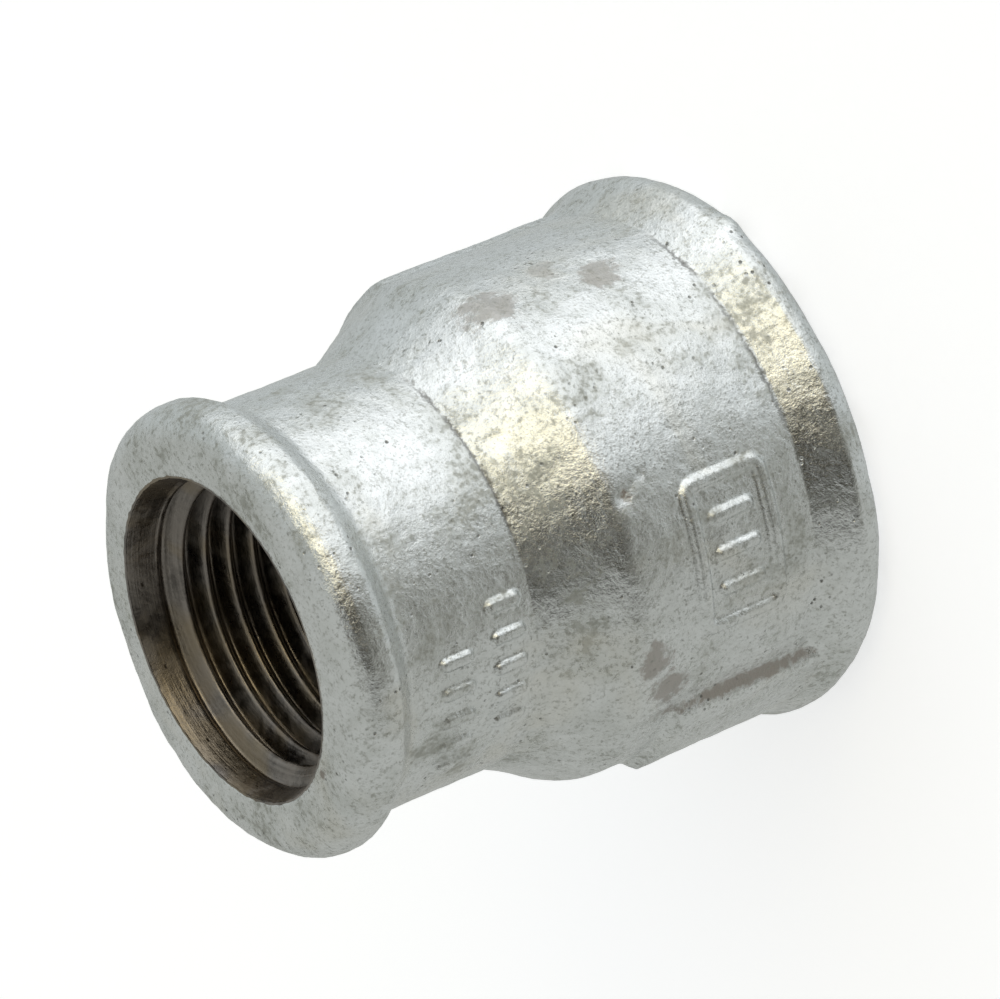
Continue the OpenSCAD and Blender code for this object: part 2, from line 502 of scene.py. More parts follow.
    def pits(self, sheet: NodeSheet, place: Socket) -> Value:
        """Adds small dark pits, gathered in drifts.

        Args:
            sheet: The material's nodes.
            place: The coordinates.

        Returns:
            Where the pits are, from 0 to 1.
        """
        inputs = {"Vector": place, "Scale": 1 / (self.pit_spacing * MM), "Randomness": 1.0}
        cells = sheet.add("ShaderNodeTexVoronoi", {"feature": "F1"}, inputs).value("Distance")
        drifts = sheet.grain(place, self.pit_drift_size, 3.0, 0.6).rise(*self.pit_drift_span)
        return cells.rise(*self.pit_edge) * drifts


@dataclass(frozen=True)
class MachinedIron:
    """Bare malleable iron as the tap and the facing tool left it: dark, oiled, with fine turning lines."""

    name: str = "machined_iron"
    dark: Colour = (0.11, 0.10, 0.092)
    mid: Colour = (0.33, 0.30, 0.275)
    bronze: Colour = (0.30, 0.245, 0.17)
    line_squeeze: Triple = (0.02, 0.02, 1.0)
    line_size: float = 0.16
    stain_size: float = 4.0
    fine_size: float = 0.4
    mid_span: Span = (0.36, 0.60)
    bronze_size: float = 7.0
    bronze_span: Span = (0.50, 0.66)
    stain_span: Span = (0.45, 0.65)
    line_depth: float = 0.02
    fine_depth: float = 0.03

    def material(self) -> bpy.types.Material:
        """Makes the material.

        Returns:
            The material.
        """
        made = bpy.data.materials.new(self.name)
        sheet = NodeSheet(made)
        place = sheet.coordinates()
        lines = sheet.grain(sheet.squeezed(place, self.line_squeeze), self.line_size, 3.0, 0.7)
        stain = sheet.grain(place, self.stain_size, 5.0, 0.6, 0.8)
        fine = sheet.grain(place, self.fine_size, 4.0, 0.65)
        worked = (0.5 * stain + 0.3 * lines + 0.2 * fine).rise(*self.mid_span)
        colour = sheet.mix(worked, self.dark, self.mid)
        bronzed = sheet.grain(place, self.bronze_size, 3.0, 0.5, 0.5).rise(*self.bronze_span)
        colour = sheet.mix(0.7 * bronzed, colour, self.bronze)
        rough = 0.30 + 0.25 * (fine - 0.5) + 0.22 * stain.rise(*self.stain_span)
        normal = sheet.bump(fine, self.fine_depth, sheet.bump(lines, self.line_depth))
        sheet.surface(Base_Color=colour, Metallic=1.0, Roughness=rough, Normal=normal)
        return made


@dataclass(frozen=True)
class PassageZinc:
    """Zinc on the rough cast passage between the threads: duller and lumpier than outside."""

    name: str = "passage_zinc"
    pale: Colour = (0.62, 0.65, 0.66)
    dull: Colour = (0.34, 0.34, 0.33)

    def material(self) -> bpy.types.Material:
        """Makes the material.

        Returns:
            The material.
        """
        made = bpy.data.materials.new(self.name)
        sheet = NodeSheet(made)
        place = sheet.coordinates()
        clouds = sheet.grain(place, 2.5, 6.0, 0.65, 0.8)
        fine = sheet.grain(place, 0.4, 4.0, 0.65)
        colour = sheet.mix(clouds.rise(0.40, 0.62), self.pale, self.dull)
        rough = 0.42 + 0.3 * (fine - 0.5) + 0.15 * clouds.rise(0.45, 0.6)
        normal = sheet.bump(fine, 0.12, sheet.bump(sheet.grain(place, 1.2), 0.2))
        sheet.surface(Base_Color=colour, Metallic=0.85, Roughness=rough, Normal=normal)
        return made


@dataclass(frozen=True)
class PaleFloor:
    """A plain pale floor with the faintest clouding."""

    name: str = "pale_floor"
    light: Colour = (0.92, 0.92, 0.955)
    shade: Colour = (0.90, 0.90, 0.935)
    glow: float = 0.52

    def material(self) -> bpy.types.Material:
        """Makes the material.

        Returns:
            The material.
        """
        made = bpy.data.materials.new(self.name)
        sheet = NodeSheet(made)
        place = sheet.coordinates()
        colour = sheet.mix(sheet.grain(place, 60.0), self.light, self.shade)
        sheet.surface(
            Base_Color=colour, Roughness=0.9, Emission_Color=(1.0, 1.0, 1.0), Emission_Strength=self.glow
        )
        return made


# ---- shaping


@dataclass(frozen=True)
class Corner:
    """A corner of an outline: its radius from the axis, its height and the radius that rounds it."""

    r: float
    z: float
    rounding: float = 0.0

    def at(self) -> Vector:
        """Gives the corner as a point of the plane through the axis."""
        return Vector((self.r, 0.0, self.z))


def turn_between(before: Corner, corner: Corner, after: Corner) -> float:
    """Gives how much a line turns at a corner, in radians.

    Args:
        before: The corner before it.
        corner: The corner.
        after: The corner after it.

    Returns:
        The turn, from 0 for a straight line.
    """
    return (corner.at() - before.at()).angle(after.at() - corner.at())


def draw_line(corners: list[Corner], spacing: float, arc_steps: int = 6) -> bmesh.types.BMesh:
    """Draws an open line with rounded corners in the plane through the axis.

    Args:
        corners: The line's corners in order.
        spacing: The longest edge that it may have.
        arc_steps: How many edges each rounding has.

    Returns:
        A mesh with the line.
    """
    bm = bmesh.new()
    verts = [bm.verts.new(corner.at()) for corner in corners]
    for first, second in zip(verts, verts[1:]):
        bm.edges.new((first, second))
    for i in range(1, len(corners) - 1):
        if corners[i].rounding > 0:
            turn = turn_between(*corners[i - 1 : i + 2])
            bmesh.ops.bevel(
                bm, geom=[verts[i]], offset=corners[i].rounding * math.tan(turn / 2), offset_type="OFFSET",
                segments=arc_steps, profile=0.5, affect="VERTICES", material=-1,
            )
    by_cuts: dict[int, list[bmesh.types.BMEdge]] = {}
    for edge in bm.edges:
        by_cuts.setdefault(math.ceil(edge.calc_length() / spacing - 1e-6) - 1, []).append(edge)
    for cuts, group in sorted(by_cuts.items()):
        if cuts > 0:
            bmesh.ops.subdivide_edges(bm, edges=group, cuts=cuts)
    return bm


def spin_round(bm: bmesh.types.BMesh, steps: int) -> bmesh.types.BMesh:
    """Turns a line once round the axis.

    Args:
        bm: The mesh with the line.
        steps: How many steps make the full turn.

    Returns:
        The same mesh, now a surface.
    """
    bmesh.ops.spin(
        bm, geom=[*bm.verts, *bm.edges], cent=(0, 0, 0), axis=(0, 0, 1), dvec=(0, 0, 0),
        angle=TAU, steps=steps, use_merge=True, use_duplicate=False,
    )
    return bm


def add_in(bm: bmesh.types.BMesh, *others: bmesh.types.BMesh) -> None:
    """Adds other meshes to one mesh.

    Args:
        bm: The mesh that takes them.
        others: The meshes to add. They are freed.
    """
    for other in others:
        held = bpy.data.meshes.new("held")
        other.to_mesh(held)
        other.free()
        bm.from_mesh(held)
        bpy.data.meshes.remove(held)


def open_loop(bm: bmesh.types.BMesh, chosen: Callable[[Vector], bool]) -> list[bmesh.types.BMEdge]:
    """Finds the open edges whose middle passes a test.

    Args:
        bm: The mesh.
        chosen: The test of a point.

    Returns:
        The edges.
    """
    return [e for e in bm.edges if e.is_boundary and chosen((e.verts[0].co + e.verts[1].co) / 2)]


def finish_mesh(bm: bmesh.types.BMesh, name: str, material: bpy.types.Material) -> bpy.types.Object:
    """Closes the work on a mesh and makes it a smooth-shaded piece, in metres.

    Args:
        bm: The mesh, in millimetres. It is freed.
        name: The piece's name.
        material: Its material.

    Returns:
        The piece.
    """
    bmesh.ops.triangulate(bm, faces=[f for f in bm.faces if len(f.verts) > 4])
    bmesh.ops.recalc_face_normals(bm, faces=bm.faces)
    bmesh.ops.scale(bm, vec=(MM, MM, MM), verts=bm.verts)
    for face in bm.faces:
        face.smooth = True
    mesh = bpy.data.meshes.new(name)
    bm.to_mesh(mesh)
    bm.free()
    mesh.materials.append(material)
    piece = bpy.data.objects.new(name, mesh)
    bpy.context.scene.collection.objects.link(piece)
    return piece


def soft_step(start: float, end: float, x: float) -> float:
    """Rises softly from 0 at start to 1 at end, which may be below start."""
    t = min(1.0, max(0.0, (x - start) / (end - start)))
    return t * t * (3 - 2 * t)


def soft_lift(gap: float, softness: float) -> float:
    """Gives a gap where it is positive and 0 where it isn't, with a rounded join.

    Args:
        gap: The gap.
        softness: How wide the join is.

    Returns:
        The lift.
    """
    return 0.5 * (gap + math.sqrt(gap * gap + softness * softness))


def turned(direction: float, middle: float) -> float:
    """Gives a direction measured from another, between -180 and 180 degrees."""
    return (direction - middle + 180) % 360 - 180


# ---- the zinc outside


@dataclass(frozen=True)
class Rib:
    """A low rib along the large body: where it faces, its height, where its end slope starts."""

    direction: float
    rise: float
    end: float
    width: float = 9.0
    end_angle: float = 60.0
    flank: float = 0.5
    start: float = 2.4
    join: float = 0.25
    reach: float = 0.6

    def lift(self, r: float, direction: float, z: float, body_r: float) -> float:
        """Gives how far the rib raises a point of the outside.

        Args:
            r: The point's radius.
            direction: The point's direction.
            z: The point's height.
            body_r: The large body's radius.

        Returns:
            The lift, outwards.
        """
        away = math.radians(direction - self.direction)
        if math.cos(away) < 0:
            return 0.0
        side = abs(r * math.sin(away))
        across = soft_step(self.width / 2 + self.flank, self.width / 2 - self.flank, side)
        if across == 0.0:
            return 0.0
        past = max(0.0, z - self.end)
        top = body_r + self.rise - past * math.tan(math.radians(self.end_angle))
        if r > top + self.reach or z < self.start:
            return 0.0
        return across * max(0.0, soft_lift(top - r, self.join) - soft_lift(-self.reach, self.join))


@dataclass(frozen=True)
class Marks:
    """The cast marks: a tally frame with bars on the large body, and two rows of dashes on the small one."""

    rise: float = 0.3
    stroke: float = 0.8
    edge: float = 0.16
    frame_len: float = 10.5
    frame_h: float = 6.6
    frame_bars: int = 3
    frame_z: float = 11.0
    frame_dir: float = -128.0
    frame_corner: float = 0.7
    row_dashes: int = 5
    dash_len: float = 2.4
    dash_gap: float = 2.1
    row_heights: tuple[float, ...] = (30.8, 26.8)
    row_dirs: tuple[float, ...] = (-150.0, -140.0)

    def stroke_height(self, away: float) -> float:
        """Gives a stroke's height at a distance from its middle line."""
        return self.rise * soft_step(self.stroke / 2 + self.edge, self.stroke / 2 - self.edge, away)

    def frame_height(self, along: float, up: float) -> float:
        """Gives the height of the tally frame.

        Args:
            along: The distance round the body from the frame's middle.
            up: The distance along the bore from the frame's middle.

        Returns:
            The height.
        """
        half_len, half_h = (self.frame_len - self.stroke) / 2, (self.frame_h - self.stroke) / 2
        dx, dy = abs(along) - half_len + self.frame_corner, abs(up) - half_h + self.frame_corner
        outside = math.hypot(max(dx, 0.0), max(dy, 0.0)) + min(max(dx, dy), 0.0) - self.frame_corner
        height = self.stroke_height(abs(outside))
        step = (self.frame_len - self.stroke) / (self.frame_bars + 1)
        bar_half = self.frame_h / 2 - 2.5 * self.stroke
        for i in range(1, self.frame_bars + 1):
            beyond = max(0.0, abs(up) - bar_half)
            height = max(height, self.stroke_height(math.hypot(along - i * step + half_len, beyond)))
        return height

    def rows_height(self, direction: float, z: float, body_r: float) -> float:
        """Gives the height of the dashes.

        Args:
            direction: The point's direction.
            z: Its height.
            body_r: The small body's radius.

        Returns:
            The height of the dashes there.
        """
        height = 0.0
        for row_z, row_dir in zip(self.row_heights, self.row_dirs, strict=True):
            beyond = max(0.0, abs(z - row_z) - (self.dash_len - self.stroke) / 2)
            if beyond > self.stroke:
                continue
            for i in range(self.row_dashes):
                middle = (i - (self.row_dashes - 1) / 2) * self.dash_gap
                along = math.radians(turned(direction, row_dir)) * body_r - middle
                height = max(height, self.stroke_height(math.hypot(along, beyond)))
        return height


@dataclass(frozen=True)
class Flaw:
    """A small lump, or a dent where the height is below 0: its place, radius and height."""

    r: float
    z: float
    direction: float
    size: float
    height: float

    def at(self) -> Vector:
        """Gives the middle of the flaw."""
        a = math.radians(self.direction)
        return Vector((self.r * math.cos(a), self.r * math.sin(a), self.z))


@dataclass(frozen=True)
class Unevenness:
    """One layer of the cast skin's unevenness: how fine it is, its height, and how its finer waves follow."""

    fineness: float
    height: float
    rough: float
    gap: float
    octaves: int
    shift: Triple = (0.0, 0.0, 0.0)

    def lift(self, at: Vector) -> float:
        """Gives the layer's height at a point."""
        place = at * self.fineness + Vector(self.shift)
        return noise.fractal(place, self.rough, self.gap, self.octaves) * self.height


@dataclass(frozen=True)
class RaggedEdge:
    """The ragged edge that the facing tool left on the zinc round a mouth."""

    face_reach: float = 0.8
    reach: float = 1.2
    radius: float = 11.0
    least: float = 0.03
    teeth: Unevenness = Unevenness(1.3, 0.09, 0.6, 2.2, 4)
    wave_fineness: float = 0.25
    wave_height: float = 0.06
    rim_w: float = 0.28
    rim_drop: float = 0.08

    def pull(self, co: Vector, mouth: float, face: float) -> Vector:
        """Gives where a point near a mouth moves to.

        Args:
            co: The point.
            mouth: The mouth's radius.
            face: The height of its end face.

        Returns:
            The new place.
        """
        r = math.hypot(co.x, co.y)
        depth = r - mouth
        if abs(co.z - face) > self.face_reach or depth > self.reach:
            return co
        around = Vector((co.x, co.y, 0)).normalized() * self.radius
        wave = self.wave_height * noise.noise(around * self.wave_fineness)
        jag = self.least + self.teeth.lift(around) + wave
        out = (r + max(0.0, jag) * (1 - max(0.0, depth) / self.reach)) / r
        drop = self.rim_drop * math.exp(-((depth / self.rim_w) ** 2)) * (-1 if face else 1)
        return Vector((co.x * out, co.y * out, co.z + drop))


@dataclass
class ZincOutside:
    """The zinc over the outside and the end faces, with the casting's ribs, marks and roughness."""

    length: float = 39.0
    small_body_r: float = 13.85
    large_body_r: float = 17.0
    small_bead_r: float = 15.1
    large_bead_r: float = 18.5
    large_bead_w: float = 2.4
    large_bead_foot: float = 5.1
    large_bead_rounds: Triple = (2.1, 0.9, 0.35)
    large_body_len: float = 18.9
    shoulder_bend: Span = (14.8, 22.75)
    shoulder_end: float = 24.7
    shoulder_rounds: Triple = (2.4, 1.2, 0.25)
    small_bead_foot: float = 34.4
    small_bead_back: float = 35.9
    small_bead_rounds: Triple = (1.0, 0.9, 2.2)
    small_mouth_r: float = 10.75
    large_mouth_r: float = 13.5
    wall: float = 0.55
    mouth_inset: float = 0.05
    kept_round: float = 1.5
    spacing: float = 0.27
    wall_spacing: float = 2.5
    steps: int = 344
    fine_cuts: int = 1
    mouth_calm: Span = (-0.2, 2.6)
    flaw_reach: float = 2.5
    skin_sink: float = 0.02
    skin: tuple[Unevenness, ...] = (
        Unevenness(0.16, 0.08, 1.0, 2.0, 2),
        Unevenness(0.75, 0.035, 0.8, 2.1, 3, (7, 3, 1)),
        Unevenness(2.1, 0.016, 0.7, 2.0, 2, (1, 9, 4)),
    )
    edge: RaggedEdge = RaggedEdge()
    ribs: tuple[Rib, ...] = (Rib(0.0, 0.42, 18.6), Rib(180.0, 0.8, 15.2))
    marks: Marks = field(default_factory=Marks)
    flaws: tuple[Flaw, ...] = (
        Flaw(18.4, 0.9, -62.2, 0.9, 0.32),
        Flaw(18.2, 0.6, -92.0, 6.5, -0.32),
        Flaw(18.2, 0.6, -122.0, 5.0, -0.20),
        Flaw(14.4, 38.8, 30.0, 5.5, -0.30),
        Flaw(14.4, 38.8, 70.0, 5.5, -0.26),
        Flaw(17.0, 18.25, -108.6, 0.45, -0.25),
        Flaw(17.0, 17.5, -107.0, 0.35, -0.18),
        Flaw(17.0, 16.6, -105.5, 0.30, -0.12),
        Flaw(18.4, 3.0, -29.6, 0.3, -0.16),
        Flaw(11.7, 39.0, -163.8, 0.45, 0.20),
        Flaw(14.6, 38.4, 100.0, 0.5, -0.22),
        Flaw(17.2, 8.0, 60.0, 0.5, 0.2),
        Flaw(13.9, 30.0, 75.0, 0.45, 0.18),
    )

    def corners(self) -> list[Corner]:
        """Gives the outline from the large mouth over the outside to the small mouth."""
        front, back, foot = self.large_bead_rounds
        start, bend, end = self.shoulder_rounds
        small_foot, small_back, small_front = self.small_bead_rounds
        return [
            Corner(self.large_mouth_r, 0.0),
            Corner(self.large_bead_r, 0.0, front),
            Corner(self.large_bead_r, self.large_bead_w, back),
            Corner(self.large_body_r, self.large_bead_foot, foot),
            Corner(self.large_body_r, self.large_body_len, start),
            Corner(*self.shoulder_bend, bend),
            Corner(self.small_body_r, self.shoulder_end, end),
            Corner(self.small_body_r, self.small_bead_foot, small_foot),
            Corner(self.small_bead_r, self.small_bead_back, small_back),
            Corner(self.small_bead_r, self.length, small_front),
            Corner(self.small_mouth_r, self.length),
        ]

    def inner_corners(self, depth: float) -> list[Corner]:
        """Gives the outline drawn in, without its roundings.

        Args:
            depth: How far inside the surface it lies.

        Returns:
            The corners.
        """
        given = self.corners()
        made = [Corner(given[0].r + self.mouth_inset, depth)]
        for before, corner, after in zip(given, given[1:], given[2:]):
            u = (corner.at() - before.at()).normalized()
            v = (after.at() - corner.at()).normalized()
            inward = (Vector((-u.z, 0, u.x)) + Vector((-v.z, 0, v.x))) / (1 + u.dot(v))
            moved = corner.at() + inward * depth
            rounding = max(0.0, corner.rounding - depth) if corner.rounding > self.kept_round else 0.0
            made.append(Corner(moved.x, moved.z, rounding))
        return [*made, Corner(given[-1].r + self.mouth_inset, self.length - depth)]

    def refine(self, bm: bmesh.types.BMesh) -> None:
        """Gives the marks a finer mesh than the plain surface.

        Args:
            bm: The mesh.
        """
        marks, zones = self.marks, []
        half = math.degrees(marks.frame_len / 2 / self.large_body_r) + 1.6
        zones.append((marks.frame_z, marks.frame_h / 2 + 0.5, marks.frame_dir, half))
        half = math.degrees(marks.dash_gap * marks.row_dashes / 2 / self.small_body_r) + 1.2
        for row_z, row_dir in zip(marks.row_heights, marks.row_dirs, strict=True):
            zones.append((row_z, marks.dash_len / 2 + 0.5, row_dir, half))

        def inside(v: bmesh.types.BMVert) -> bool:
            """Tells whether a vertex lies in one of the zones."""
            a = math.degrees(math.atan2(v.co.y, v.co.x))
            return any(abs(v.co.z - z) < h and abs(turned(a, d)) < w for z, h, d, w in zones)

        chosen = {v for v in bm.verts if inside(v)}
        edges = [e for e in bm.edges if e.verts[0] in chosen and e.verts[1] in chosen]
        bmesh.ops.subdivide_edges(bm, edges=edges, cuts=self.fine_cuts, use_grid_fill=True)

    def unevenness(self, at: Vector) -> float:
        """Gives the height of the cast skin's unevenness and flaws at a point."""
        uneven = sum(layer.lift(at) for layer in self.skin) - self.skin_sink
        for flaw in self.flaws:
            near = (at - flaw.at()).length / flaw.size
            if near < self.flaw_reach:
                uneven += flaw.height * math.exp(-near * near)
        return uneven

    def relief(self, at: Vector, normal: Vector) -> Vector:
        """Gives where a point of the plain outside moves to.

        Args:
            at: The point.
            normal: The surface's direction there.

        Returns:
            The new place.
        """
        r, direction = math.hypot(at.x, at.y), math.degrees(math.atan2(at.y, at.x))
        out = Vector((at.x / r, at.y / r, 0))
        lift = max(rib.lift(r, direction, at.z, self.large_body_r) for rib in self.ribs)
        marks = self.marks
        if abs(at.z - marks.frame_z) < marks.frame_h / 2 + 1:
            along = math.radians(turned(direction, marks.frame_dir)) * self.large_body_r
            if abs(along) < marks.frame_len / 2 + 1:
                lift = max(lift, marks.frame_height(along, at.z - marks.frame_z))
        elif self.shoulder_end - 1 < at.z < self.length - 4:
            lift += marks.rows_height(direction, at.z, self.small_body_r)
        mouth_r = self.mouth_near(at.z)[0]
        return at + out * lift + normal * self.unevenness(at) * soft_step(*self.mouth_calm, r - mouth_r)

    def mouth_near(self, z: float) -> Span:
        """Gives the radius of the mouth that is nearer to a height, and the height of its face."""
        if z > self.length / 2:
            return self.small_mouth_r, self.length
        return self.large_mouth_r, 0.0

    def build(self) -> bmesh.types.BMesh:
        """Builds the coat as one closed shell.

        Returns:
            The mesh, in millimetres.
        """
        bm = spin_round(draw_line(self.corners(), self.spacing), self.steps)
        bmesh.ops.recalc_face_normals(bm, faces=bm.faces)
        self.refine(bm)
        bm.normal_update()
        if any(f.normal.dot(f.calc_center_median()) < 0 for f in list(bm.faces)[:1]):
            bmesh.ops.reverse_faces(bm, faces=bm.faces)
            bm.normal_update()
        moved = [self.relief(v.co.copy(), v.normal.copy()) for v in bm.verts]
        for v, place in zip(bm.verts, moved, strict=True):
            v.co = self.edge.pull(place, *self.mouth_near(place.z))
        add_in(bm, spin_round(draw_line(self.inner_corners(self.wall), self.wall_spacing, 3), self.steps))
        for is_there in (lambda at: at.z < self.length / 2, lambda at: at.z > self.length / 2):
            bmesh.ops.bridge_loops(bm, edges=open_loop(bm, is_there))
        return bm

    def dress(self) -> bpy.types.Object:
        """Builds the piece and gives it its finish.

        Returns:
            The piece.
        """
        piece = finish_mesh(self.build(), "zinc_outside", HotDipZinc().material())
        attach(piece, BODY)
        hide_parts(Node.OUTER_ZINC.value)
        return piece


# ---- the bare iron


@dataclass(frozen=True)
class SocketThread:
    """A threaded socket: its diameters, pitch, depth and mouth, cut from one end face inwards."""

    end: End
    major_r: float
    minor_r: float
    depth: float
    mouth_r: float
    pitch: float = 1.814
    recess_depth: float = 2.1
    recess_draw: float = 0.5
    chamfer_slope: float = 1.1
    sharp_height: float = 0.960491
    tip_rounding: float = 0.137329
    run_out: float = 2.4
    plain_end: float = 0.3
    cut_depth: float = 0.9
    steps: int = 200
    tip_steps: int = 4
    flank_edge: float = 0.36

    def mouth_at(self, depth: float) -> float:
        """Gives the radius of the recess and the chamfer behind it, at a depth."""
        recess_r = self.mouth_r - self.recess_draw
        if depth <= self.recess_depth:
            return self.mouth_r - self.recess_draw * depth / self.recess_depth
        return recess_r - (depth - self.recess_depth) * self.chamfer_slope

    def comb(self) -> list[Corner]:
        """Gives the thread's zigzag line, with depths for heights, from before the mouth to past the end."""
        height = self.sharp_height * self.pitch
        spare = (height - (self.major_r - self.minor_r)) / 2
        rounds = math.ceil(self.depth / self.pitch) + 2
        made = []
        for i in range(-1, 2 * rounds):
            r = self.major_r + spare if i % 2 else self.minor_r - spare
            made.append(Corner(r, (i - 2) * self.pitch / 2, self.tip_rounding * self.pitch))
        return made

    def shape(self, at: Vector) -> Vector:
        """Opens the thread out to the mouth, and lets its grooves run out at its end.

        Args:
            at: A point of the endless thread, with its depth for its height.

        Returns:
            The point's place in the socket.
        """
        r = math.hypot(at.x, at.y)
        left = self.depth - self.plain_end - at.z
        shallow = self.minor_r + max(0.0, left) / self.run_out * (self.major_r - self.minor_r)
        made = max(min(r, shallow), self.mouth_at(at.z))
        if left <= 0:
            made = self.minor_r
        return Vector((at.x * made / r, at.y * made / r, at.z))

    def build(self, length: float) -> bmesh.types.BMesh:
        """Builds the threaded surface, open at both ends.

        Args:
            length: The whole socket's length.

        Returns:
            The mesh, in millimetres.
        """
        bm = draw_line(self.comb(), self.flank_edge, self.tip_steps)
        bmesh.ops.spin(
            bm, geom=[*bm.verts, *bm.edges], cent=(0, 0, 0), axis=(0, 0, 1), angle=TAU,
            dvec=(0, 0, self.pitch / self.steps), steps=self.steps, use_merge=False, use_duplicate=False,
        )
        bmesh.ops.remove_doubles(bm, verts=bm.verts, dist=1e-3)
        for v in bm.verts:
            v.co = self.shape(v.co)
        for depth, direction in ((self.cut_depth, -1), (self.depth, 1)):
            bmesh.ops.bisect_plane(
                bm, geom=[*bm.verts, *bm.edges, *bm.faces], dist=1e-4, plane_co=(0, 0, depth),
                plane_no=(0, 0, direction), clear_outer=True,
            )
        if self.end is End.SMALL:
            over = Matrix.Rotation(math.pi, 3, "X")
            bmesh.ops.rotate(bm, cent=(0, 0, 0), matrix=over, verts=bm.verts)
            bmesh.ops.translate(bm, vec=(0, 0, length), verts=bm.verts)
        return bm


@dataclass
class IronBody:
    """The bare iron: both threads with their mouths, and the casting's core behind the zinc."""

    zinc: ZincOutside
    skin: float = 0.75
    face_depth: float = 0.06
    rim_w: float = 0.45
    passage_back: float = 0.12
    mouth_round: float = 0.08
    rim_slope_w: float = 0.2
    steps: int = 200
    small: SocketThread = field(default_factory=lambda: SocketThread(End.SMALL, 10.4775, 9.3155, 15.0, 10.75))
    large: SocketThread = field(default_factory=lambda: SocketThread(End.LARGE, 13.2205, 12.0585, 16.3, 13.5))

    def shell_corners(self) -> list[Corner]:
        """Gives the outline from inside the large mouth, behind the zinc, to inside the small mouth."""
        length, face = self.zinc.length, self.face_depth
        hidden = self.zinc.inner_corners(self.skin)[1:-1]
        large_cut, small_cut = self.large.cut_depth, self.small.cut_depth
        return [
            Corner(self.large.mouth_at(large_cut), large_cut),
            Corner(self.large.mouth_at(face), face, self.mouth_round),
            Corner(self.large.mouth_r + self.rim_w, face),
            Corner(self.large.mouth_r + self.rim_w + self.rim_slope_w, self.skin),
            *hidden,
            Corner(self.small.mouth_r + self.rim_w + self.rim_slope_w, length - self.skin),
            Corner(self.small.mouth_r + self.rim_w, length - face),
            Corner(self.small.mouth_at(face), length - face, self.mouth_round),
            Corner(self.small.mouth_at(small_cut), length - small_cut),
        ]

    def passage_corners(self) -> list[Corner]:
        """Gives the outline between the two threads, behind the passage's zinc."""
        low, high = self.large.depth, self.zinc.length - self.small.depth
        back = self.passage_back
        return [
            Corner(self.large.minor_r, low),
            Corner(self.large.minor_r + back, low + 0.15),
            Corner(self.large.minor_r + back, low + 1.3, 1.5),
            Corner(self.small.minor_r + back, high - 1.3, 1.5),
            Corner(self.small.minor_r + back, high - 0.15),
            Corner(self.small.minor_r, high),
        ]

    def build(self) -> bmesh.types.BMesh:
        """Builds the iron as one closed body.

        Returns:
            The mesh, in millimetres.
        """
        length = self.zinc.length
        bm = self.small.build(length)
        add_in(bm, self.large.build(length))
        for corners in (self.shell_corners(), self.passage_corners()):
            add_in(bm, spin_round(draw_line(corners, 2.0, 3), self.steps))
        small, large = self.small, self.large
        for height in (large.cut_depth, large.depth, length - small.depth, length - small.cut_depth):
            bmesh.ops.bridge_loops(bm, edges=open_loop(bm, lambda at, z=height: abs(at.z - z) < 2e-2))
        bmesh.ops.dissolve_degenerate(bm, edges=bm.edges, dist=2e-3)
        return bm

    def dress(self) -> bpy.types.Object:
        """Builds the piece and gives it its finish.

        Returns:
            The piece.
        """
        piece = finish_mesh(self.build(), "iron_threads", MachinedIron().material())
        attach(piece, BODY)
        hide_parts(Node.IRON.value)
        return piece


# ---- the zinc inside


@dataclass
class ZincPassage:
    """The zinc left on the cast passage between the threads."""

    low: float = 16.3
    high: float = 24.0
    wide_r: float = 11.8085
    tight_r: float = 9.0655
    wall: float = 0.32
    lip: float = 1.2
    bend_r: float = 2.0
    steps: int = 180

    def corners(self, back: float) -> list[Corner]:
        """Gives the passage's outline, from the large thread to the small one.

        Args:
            back: How far behind the surface it lies.

        Returns:
            The corners.
        """
        gap = 0.02
        return [
            Corner(self.wide_r + back, self.low + gap),
            Corner(self.wide_r + back, self.low + self.lip, self.bend_r),
            Corner(self.tight_r + back, self.high - self.lip, self.bend_r),
            Corner(self.tight_r + back, self.high - gap),
        ]

    def build(self) -> bmesh.types.BMesh:
        """Builds the lining as one closed shell with a lumpy inside.

        Returns:
            The mesh, in millimetres.
        """
        bm = spin_round(draw_line(self.corners(0.0), 0.3, 5), self.steps)
        for v in bm.verts:
            inside = soft_step(0, 0.8, min(v.co.z - self.low, self.high - v.co.z))
            bumps = noise.fractal(v.co * 0.6, 0.8, 2.0, 4) * 0.10
            v.co.xy *= 1 - inside * (bumps + 0.02) / self.tight_r
        add_in(bm, spin_round(draw_line(self.corners(self.wall), 2.0, 3), self.steps))
        middle = (self.low + self.high) / 2
        for is_there in (lambda at: at.z < middle, lambda at: at.z > middle):
            bmesh.ops.bridge_loops(bm, edges=open_loop(bm, is_there))
        return bm

    def dress(self) -> bpy.types.Object:
        """Builds the piece and gives it its finish.

        Returns:
            The piece.
        """
        piece = finish_mesh(self.build(), "zinc_passage", PassageZinc().material())
        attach(piece, BODY)
        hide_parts(Node.INNER_ZINC.value)
        return piece


# ---- the studio


